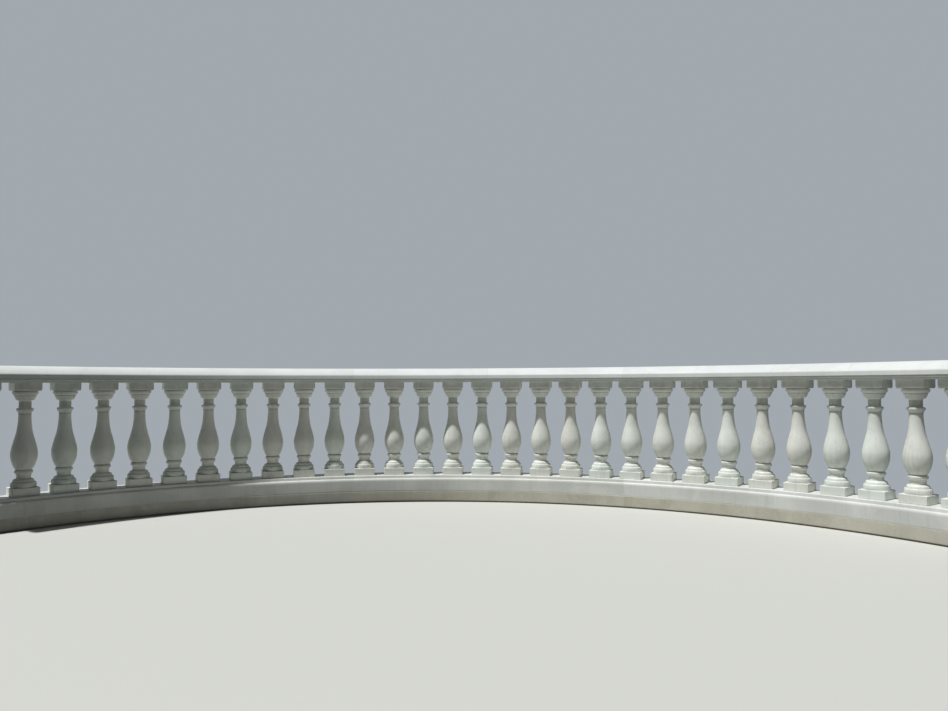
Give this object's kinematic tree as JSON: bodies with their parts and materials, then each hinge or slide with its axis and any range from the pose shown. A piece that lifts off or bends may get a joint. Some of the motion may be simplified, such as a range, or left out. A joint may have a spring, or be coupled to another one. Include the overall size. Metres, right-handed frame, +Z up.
{
  "type": "stone balustrade",
  "caption": "Curved marble balustrade: kerb, moulded base, turned vase balusters on square plinths, and a round-topped moulded handrail.",
  "frame": {"origin": "under the middle of the whole arc, halfway along its length and its depth, on the level that the kerb stands on", "axes": "+Z up, +X to the right along the chord as seen from the terrace, +Y away from the terrace towards the outer, bulging side"},
  "size_m": [5.9456, 1.7056, 1.006],
  "materials": {
    "white_marble": "honed",
    "baluster_marble": "honed",
    "kerb_marble": "polished"
  },
  "bodies": {
    "root": {"kerb_stone_1": "kerb_marble", "kerb_stone_2": "kerb_marble", "kerb_stone_3": "kerb_marble", "kerb_stone_4": "kerb_marble", "kerb_stone_5": "kerb_marble", "kerb_stone_6": "kerb_marble", "kerb_stone_7": "kerb_marble", "base_stone_1": "white_marble", "base_stone_2": "white_marble", "base_stone_3": "white_marble", "base_stone_4": "white_marble", "base_stone_5": "white_marble", "base_stone_6": "white_marble", "base_stone_7": "white_marble", "balusters_bay_1": "baluster_marble", "balusters_bay_2": "baluster_marble", "balusters_bay_3": "baluster_marble", "balusters_bay_4": "baluster_marble", "balusters_bay_5": "baluster_marble", "balusters_bay_6": "baluster_marble", "handrail_stone_1": "white_marble", "handrail_stone_2": "white_marble", "handrail_stone_3": "white_marble", "handrail_stone_4": "white_marble", "handrail_stone_5": "white_marble", "handrail_stone_6": "white_marble", "handrail_stone_7": "white_marble"}
  },
  "joints": []
}
